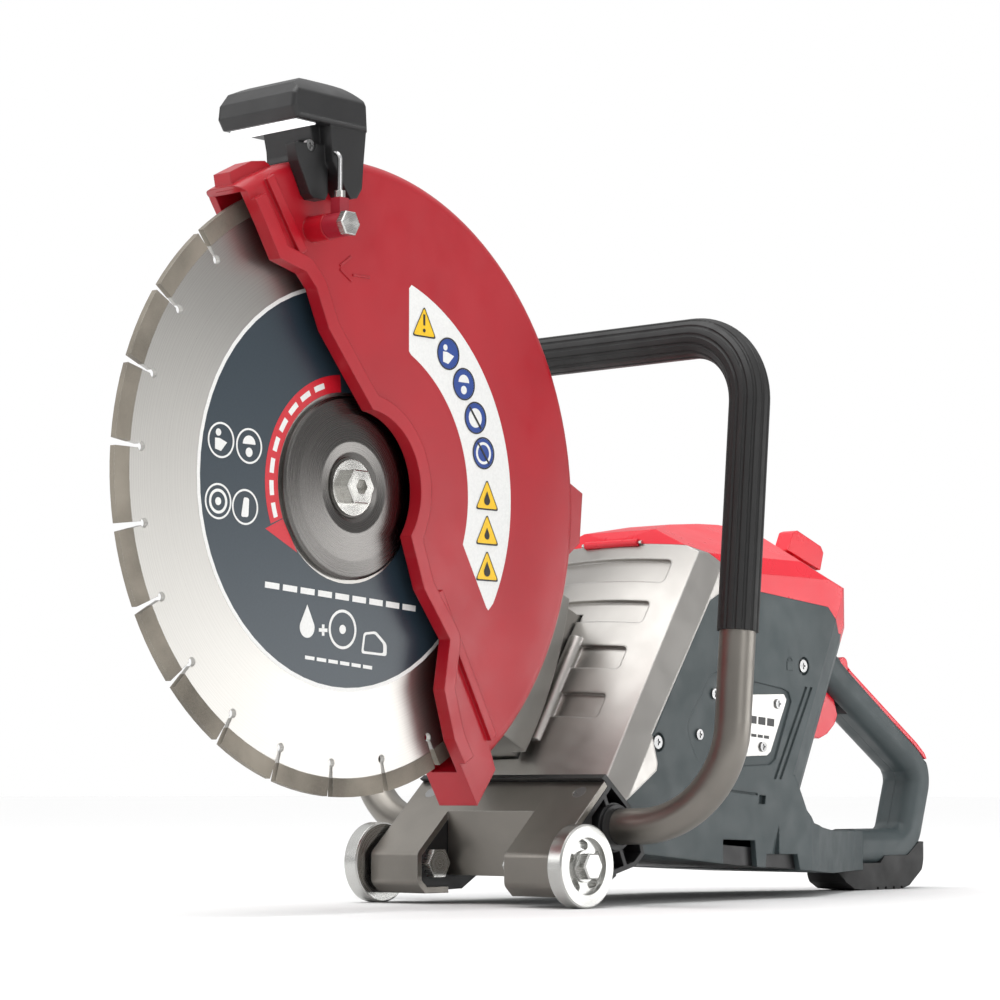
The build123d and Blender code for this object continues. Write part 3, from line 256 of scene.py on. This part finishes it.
GUARD_RED = linear(168, 8, 28)
LID_RED = linear(226, 18, 44)
MATERIALS = {
    "guard_red": surface("paint_guard_red", GUARD_RED, 0.36, grain=1400, grain_depth=0.000012, shade=0.05,
                         round_edge=0.0012, Coat_Weight=0.1, Coat_Roughness=0.25),
    "lid_red": surface("plastic_lid_red", LID_RED, 0.3, grain=1600, grain_depth=0.000008, shade=0.04,
                       round_edge=0.0012),
    "housing_slate": surface("plastic_slate", linear(60, 70, 72), 0.5, grain=2200, grain_depth=0.00003,
                             shade=0.08, round_edge=0.0012),
    "cast_aluminium": surface("cast_aluminium", linear(170, 169, 165), 0.42, 1.0, grain=1500,
                              grain_depth=0.00003, shade=0.08, edge=0.4, round_edge=0.0015),
    "cover_aluminium": surface("blasted_aluminium", linear(176, 173, 169), 0.36, 1.0, grain=2600,
                               grain_depth=0.000015, shade=0.05, edge=0.5, round_edge=0.0018),
    "grip_black": surface("plastic_black_grip", linear(26, 26, 27), 0.42, grain=2400, grain_depth=0.00003,
                          shade=0.15, round_edge=0.0015),
    "base_black": surface("plastic_black_base", linear(24, 24, 25), 0.46, grain=1800, grain_depth=0.00003,
                          shade=0.15, round_edge=0.0008),
    "rubber_black": surface("rubber_black", linear(20, 20, 20), 0.55, grain=1500, grain_depth=0.00004,
                            shade=0.2, round_edge=0.0006),
    "tube_paint": surface("steel_dark_satin", linear(128, 124, 118), 0.36, 0.9, grain=1800,
                          grain_depth=0.00002, shade=0.08, edge=0.3, round_edge=0.0008),
    "segment_grit": surface("diamond_grit", linear(128, 122, 112), 0.55, 0.8, grain=2200,
                            grain_depth=0.00012, shade=0.4, edge=0.3, round_edge=0.0004),
    "bright_steel": turned_metal("steel_bright", linear(205, 204, 200), 0.28, BLADE_CENTRE),
    "blade_steel": turned_metal("steel_blade", linear(176, 174, 170), 0.34, BLADE_CENTRE, ring=1800),
    "flange_steel": turned_metal("steel_flange", linear(104, 102, 100), 0.3, BLADE_CENTRE, ring=1500,
                                 round_edge=0.001),
    "zinc_steel": turned_metal("zinc_wheel", linear(205, 205, 202), 0.3, WHEEL_CENTRE, ring=3000,
                               round_edge=0.0006),
    "pulley_aluminium": surface("aluminium_pulley", linear(190, 190, 188), 0.3, 1.0, stretch=(1, 20, 20)),
    "screw_steel": surface("screw_steel", linear(150, 150, 150), 0.3, 1.0, edge=0.5, round_edge=0.0003),
    # The elbow's outside is red, like the guard beside it
    "elbow_grey": surface("plastic_elbow", linear(150, 22, 40), 0.45, grain=2200, round_edge=0.0006),
    "pipe_steel": surface("steel_polished", linear(205, 205, 205), 0.15, 1.0, stretch=(40, 40, 1)),
    "lens_clear": surface("lamp_lens", linear(245, 246, 248), 0.2, grain=700, shade=0.03, edge=0.0,
                          Emission_Color=(1, 1, 1, 1), Emission_Strength=0.9),
    "stator_iron": surface("laminated_iron", linear(120, 100, 82), 0.5, 0.7, stretch=(60, 1, 1)),
    "board_green": surface("circuit_board", linear(20, 92, 56), 0.4, grain=500, shade=0.3),
    "plate_silver": surface("nameplate_metal", linear(188, 187, 184), 0.34, 1.0, grain=400,
                            stretch=(1, 1, 30), shade=0.1, edge=0.3, round_edge=0.0003),
}


def dress_cad_nodes():
    """Give every CAD node the detailed material of its slot."""
    slots = {row["node"]: row["material_slot"] for row in frame["record"]["subparts"]}
    for node, thing in frame["nodes"].items():
        thing.data.materials.clear()
        thing.data.materials.append(MATERIALS[slots[node]])


dress_cad_nodes()


# ------------------------------------------------------------------ printed marks

INK = {
    "navy": flat_print("label_navy", linear(36, 50, 60), 0.3),
    "white": flat_print("label_white", linear(226, 226, 224), 0.4),
    "red": flat_print("label_red", linear(196, 20, 38), 0.35),
    "blue": flat_print("label_blue", linear(24, 62, 138), 0.35),
    "yellow": flat_print("label_yellow", linear(236, 190, 14), 0.35),
    "black": flat_print("label_black", linear(22, 22, 24), 0.4),
}


def polar(radius, angle, centre=BLADE_CENTRE):
    """Side-view point at a radius and angle about a centre."""
    turn = math.radians(angle)
    return (centre[0] + radius * math.cos(turn), centre[1] + radius * math.sin(turn))


def arc(radius, start, end, centre=BLADE_CENTRE, steps=24):
    """Points round part of a circle."""
    return [polar(radius, start + (end - start) * i / steps, centre) for i in range(steps + 1)]


def disc(centre, radius):
    """Filled circle."""
    return ([polar(radius, 360 * i / 32, centre) for i in range(32)], None)


def ring(centre, outer, inner, steps=64):
    """Flat ring."""
    return tuple([polar(radius, 360 * i / steps, centre) for i in range(steps)] for radius in (outer, inner))


def band(outer, inner, start, end):
    """Part of a flat ring about the blade's axis."""
    return (arc(outer, start, end) + arc(inner, end, start), None)


def bar(start, end, width):
    """Straight bar from one point to another."""
    a, b = Vector(start), Vector(end)
    across = Vector((a.y - b.y, b.x - a.x)).normalized() * width / 2
    return ([tuple(a + across), tuple(b + across), tuple(b - across), tuple(a - across)], None)


def softened(points, reach, steps=5):
    """Polygon whose corners become curves that begin a reach away from each corner."""
    curve = []
    for i, corner in enumerate(points):
        here = Vector(corner)
        start = here + (Vector(points[i - 1]) - here).normalized() * reach
        end = here + (Vector(points[(i + 1) % len(points)]) - here).normalized() * reach
        for k in range(steps + 1):
            t = k / steps
            curve.append(tuple(start * (1 - t) ** 2 + here * 2 * t * (1 - t) + end * t ** 2))
    return curve


def around(centre, points, scale=1.0):
    """Points moved to stand about a centre."""
    return [(centre[0] + y * scale, centre[1] + z * scale) for y, z in points]


def join_loops(shape, first, second):
    """Quads between two loops of the same length."""
    for i in range(len(first)):
        j = (i + 1) % len(first)
        shape.faces.new((first[i], first[j], second[j], second[i]))


def film(name, shapes, level, ink, body, thick=PRINT_THICK):
    """Thin shapes on a face square to X. Each is an outline, with a matching inner one if it is open."""
    shape = bmesh.new()
    for outline, inner in shapes:
        lines = [outline, inner] if inner else [outline]
        layers = [[[shape.verts.new((x, *point)) for point in line] for line in lines]
                  for x in (level, level + thick)]
        for bottom, top in zip(*layers):
            join_loops(shape, bottom, top)
        for layer in layers:
            if inner:
                join_loops(shape, *layer)
            else:
                shape.faces.new(layer[0])
    bmesh.ops.recalc_face_normals(shape, faces=shape.faces)
    mesh = bpy.data.meshes.new(name)
    shape.to_mesh(mesh)
    shape.free()
    mesh.materials.append(ink)
    piece = bpy.data.objects.new(name, mesh)
    bpy.context.scene.collection.objects.link(piece)
    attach(piece, body)


def water_drop(centre, radius):
    """Drop with its point up."""
    return (arc(radius, -200, 20, centre) + [(centre[0], centre[1] + 2.2 * radius)], None)


def dashes(start, end, count, height):
    """Row of short bars."""
    a, b = Vector(start), Vector(end)
    step = (b - a) / count
    return [bar(a + step * (i + 0.1), a + step * (i + 0.9), height) for i in range(count)]


def plus_sign(centre):
    """Cross of three bars that don't overlap."""
    y, z = centre
    return [bar((y - 0.0034, z), (y + 0.0034, z), 0.002),
            bar((y, z + 0.0011), (y, z + 0.0032), 0.002),
            bar((y, z - 0.0011), (y, z - 0.0032), 0.002)]


def reader_sign(centre, head, head_radius, page_reach):
    """Head beside an open book."""
    book = [(-0.0045, -0.005), (0.0, -0.006), (page_reach, -0.001), (-0.001, 0.001), (-0.0045, 0.001)]
    return [disc((centre[0] + head[0], centre[1] + head[1]), head_radius), (around(centre, book), None)]


def helmet_sign(centre, brim_radius, face_radius):
    """Half-round helmet over a face."""
    return [(arc(brim_radius, 0, 180, (centre[0], centre[1] + 0.001)), None),
            disc((centre[0], centre[1] - 0.0035), face_radius)]


GLOVE = [(-0.003, -0.0055), (0.0025, -0.0055), (0.003, 0.005), (-0.001, 0.0055)]
TRIANGLE = [(-0.0103, -0.009), (0.0103, -0.009), (0, 0.0095)]
SAW_BODY = [(-0.008, -0.006), (0.013, -0.007), (0.013, 0.0), (0.004, 0.007), (-0.006, 0.006)]


def blade_label():
    """Round navy label with a pale rim, a red direction arrow and plain white marks."""
    first = BLADE_FACE_X
    second = first + PRINT_THICK
    third = second + PRINT_THICK
    film("blade_label", [ring(BLADE_CENTRE, LABEL_OUTER, LABEL_INNER)], first, INK["navy"], "blade")
    film("blade_label_rim", [ring(BLADE_CENTRE, LABEL_RIM, LABEL_OUTER)], first, INK["white"], "blade")
    head = [polar(*corner) for corner in ARROW_HEAD]
    arrow = [band(ARROW_OUTER, ARROW_INNER, ARROW_START, ARROW_END), (head, None)]
    film("blade_label_arrow", arrow, second, INK["red"], "blade")
    reader, helmet, wheel, glove = BLADE_SIGNS
    marks = [ring(spot, 0.0099, 0.0088) for spot in BLADE_SIGNS]
    marks += reader_sign(reader, (-0.002, 0.0042), 0.002, 0.0045)
    marks += helmet_sign(helmet, 0.0048, 0.0026)
    marks += [ring(wheel, 0.0068, 0.0052), disc(wheel, 0.0022)]
    marks.append((softened(around(glove, GLOVE), 0.0015), None))
    marks.append(water_drop(DROP_PLACE, 0.0058))
    marks += plus_sign(PLUS_PLACE)
    marks += [ring(SMALL_BLADE_PLACE, 0.0112, 0.0096), disc(SMALL_BLADE_PLACE, 0.0026)]
    marks.append((softened(around(SMALL_SAW_PLACE, SAW_BODY), 0.002),
                  softened(around(SMALL_SAW_PLACE, SAW_BODY, 0.78), 0.0015)))
    marks += dashes((-0.3024, 0.1830), (-0.1779, 0.1748), 9, 0.0034)
    marks += dashes((-0.2705, 0.1439), (-0.2146, 0.1394), 6, 0.002)
    marks += [band(ARROW_DASH_OUTER, ARROW_DASH_INNER, angle, angle + ARROW_DASH_LENGTH)
              for angle in range(108, 198, 12)]
    film("blade_label_marks", marks, third, INK["white"], "blade")


def guard_film(name, shapes, level, ink, thick=PRINT_THICK):
    """Film that rides on the guard."""
    film(name, shapes, level, ink, "guard", thick)


def guard_label():
    """Curved white label on the guard with plain blue and yellow signs."""
    first, second, third, fourth = [GUARD_FACE_X + PRINT_THICK * i for i in range(4)]
    left_end = [(-0.1995, 0.3222), (-0.1995, 0.3590), (-0.1975, 0.3612)]
    outer_edge = arc(0.1265, 70, -29, steps=40)
    tip = [polar(0.1250, -31.6), polar(0.1228, -31.4)]
    inner_edge = arc(0.0885, -18.3, 63.5, steps=40)
    guard_film("guard_label", [(left_end + outer_edge + tip + inner_edge, None)], first, INK["white"])

    circles = [polar(*place) for place in GUARD_CIRCLES]
    triangles = [polar(*place) for place in GUARD_TRIANGLES]
    reader, helmet, crossed, wheel = circles
    blue = [disc(spot, GUARD_DISC_RADIUS) for spot in (reader, helmet)]
    blue += [ring(crossed, GUARD_DISC_RADIUS, 0.0058), disc(wheel, GUARD_DISC_RADIUS)]
    guard_film("guard_label_blue", blue, second, INK["blue"])
    yellow = [(softened(around(spot, TRIANGLE, 0.92), 0.002), None) for spot in triangles]
    guard_film("guard_label_yellow", yellow, second, INK["yellow"])

    pale = reader_sign(reader, (-0.0025, 0.0035), 0.0018, 0.005)
    pale += helmet_sign(helmet, 0.0046, 0.0025)
    pale.append(ring(wheel, 0.0066, 0.0050))
    guard_film("guard_label_pale", pale, third, INK["white"])

    dark = [ring(spot, 0.0096, GUARD_DISC_RADIUS) for spot in circles]
    dark += [bar((y - 0.005, z + 0.006), (y + 0.005, z - 0.006), 0.0013) for y, z in (crossed, wheel)]
    dark += [(softened(around(spot, TRIANGLE), 0.0024), softened(around(spot, TRIANGLE, 0.9), 0.0021))
             for spot in triangles]
    alert, *wet = triangles
    dark += [water_drop((y, z - 0.0035), size) for (y, z), size in zip(wet, (0.0026, 0.0022, 0.0028))]
    dark.append(bar((alert[0], alert[1] - 0.002), (alert[0], alert[1] + 0.0045), 0.0016))
    dark.append(disc((alert[0], alert[1] - 0.0050), 0.0011))
    guard_film("guard_label_dark", dark, fourth, INK["black"])


def guard_arrow():
    """Arrow cast into the guard, in the guard's own paint."""
    lines = [bar((-0.2567, 0.3648), (-0.2478, 0.3712), 0.0014),
             bar((-0.2567, 0.3629), (-0.2472, 0.3572), 0.0014),
             bar((-0.2465, 0.3608), (-0.2329, 0.3611), 0.0014)]
    guard_film("guard_arrow", lines, GUARD_FACE_X, MATERIALS["guard_red"], ARROW_THICK)


def nameplate_marks():
    """Rows of plain bars on both nameplates."""
    rows = dashes((0.099, 0.1165), (0.137, 0.1135), 4, 0.005)
    rows += dashes((0.097, 0.1065), (0.131, 0.1040), 5, 0.002)
    for side, face in (("left", NAMEPLATE_FACE_X), ("right", -NAMEPLATE_FACE_X)):
        film(f"nameplate_marks_{side}", rows, face, INK["black"], "body",
             math.copysign(PRINT_THICK, face))


def lock_sign():
    """Small padlock raised from the housing beside its top screw."""
    centre = (0.1535, 0.1525)
    middle = (centre[0], centre[1] + 0.002)
    shackle = arc(0.0026, 0, 180, middle, steps=12) + arc(0.0017, 180, 0, middle, steps=12)
    block = around(centre, [(-0.0035, -0.0045), (0.0035, -0.0045), (0.0035, 0.0015), (-0.0035, 0.0015)])
    film("lock_sign", [(shackle, None), (block, None)], BODY_FACE_X, MATERIALS["housing_slate"], "body",
         LOCK_THICK)


blade_label()
guard_label()
guard_arrow()
nameplate_marks()
lock_sign()


# ------------------------------------------------------------------ camera, floor and light

def make_camera():
    """Camera that looks along its azimuth and elevation."""
    turn, tilt = math.radians(CAMERA_AZIMUTH), math.radians(CAMERA_ELEVATION)
    back = Vector((math.sin(turn) * math.cos(tilt), -math.cos(turn) * math.cos(tilt), math.sin(tilt)))
    data = bpy.data.cameras.new("camera")
    data.lens = CAMERA_LENS
    data.sensor_width = SENSOR_WIDTH
    data.clip_start, data.clip_end = 0.01, 100
    camera = bpy.data.objects.new("camera", data)
    camera.location = CAMERA_PLACE
    camera.rotation_mode = "QUATERNION"
    camera.rotation_quaternion = (-back).to_track_quat("-Z", "Y")
    bpy.context.scene.collection.objects.link(camera)
    bpy.context.scene.camera = camera


def make_floor():
    """Plain pale floor."""
    mesh = bpy.data.meshes.new("floor")
    corners = [(x * FLOOR_HALF, y * FLOOR_HALF, 0) for x, y in ((-1, -1), (1, -1), (1, 1), (-1, 1))]
    mesh.from_pydata(corners, [], [(0, 1, 2, 3)])
    floor = bpy.data.objects.new("floor", mesh)
    s = Shader("floor_white")
    s.set(Base_Color=(0.82, 0.82, 0.82, 1), Roughness=1.0, Specular_IOR_Level=0.0)
    mesh.materials.append(s.material)
    bpy.context.scene.collection.objects.link(floor)


def area_light(name, place, target, size, power):
    """Rectangular light aimed at a target."""
    data = bpy.data.lights.new(name, "AREA")
    data.shape = "RECTANGLE"
    data.size, data.size_y = size
    data.energy = power
    light = bpy.data.objects.new(name, data)
    light.location = place
    light.rotation_mode = "QUATERNION"
    light.rotation_quaternion = (Vector(target) - Vector(place)).to_track_quat("-Z", "Y")
    bpy.context.scene.collection.objects.link(light)


def soft_sun(direction, strength, softness):
    """Even light over the whole floor, with broad soft shadows."""
    data = bpy.data.lights.new("soft_sun", "SUN")
    data.energy = strength
    data.angle = math.radians(softness)
    sun = bpy.data.objects.new("soft_sun", data)
    sun.rotation_mode = "QUATERNION"
    sun.rotation_quaternion = Vector(direction).to_track_quat("-Z", "Y")
    bpy.context.scene.collection.objects.link(sun)


def make_world():
    """White behind the object; softer towards the horizon in what it lights."""
    world = bpy.data.worlds.new("studio")
    world.use_nodes = True
    bpy.context.scene.world = world
    nodes, links = world.node_tree.nodes, world.node_tree.links
    background = nodes["Background"]
    spot = nodes.new("ShaderNodeTexCoord")
    parts = nodes.new("ShaderNodeSeparateXYZ")
    height = nodes.new("ShaderNodeMapRange")
    ray = nodes.new("ShaderNodeLightPath")
    mix = nodes.new("ShaderNodeMix")
    limits = (0.0, FULL_LIGHT_HEIGHT, HORIZON_LIGHT, 1.0)
    for key, number in zip(("From Min", "From Max", "To Min", "To Max"), limits):
        height.inputs[key].default_value = number
    links.new(spot.outputs["Generated"], parts.inputs["Vector"])
    links.new(parts.outputs["Z"], height.inputs["Value"])
    links.new(ray.outputs["Is Camera Ray"], mix.inputs[0])
    links.new(height.outputs["Result"], mix.inputs[2])
    mix.inputs[3].default_value = 1.0
    background.inputs["Color"].default_value = (1, 1, 1, 1)
    links.new(mix.outputs[0], background.inputs["Strength"])


make_camera()
make_floor()
make_world()
soft_sun(SUN_DIRECTION, SUN_STRENGTH, SUN_SOFTNESS)
for light_name, settings in AREA_LIGHTS.items():
    area_light(light_name, *settings)
bpy.context.scene.view_settings.view_transform = "Standard"
bpy.context.scene.view_settings.look = "None"
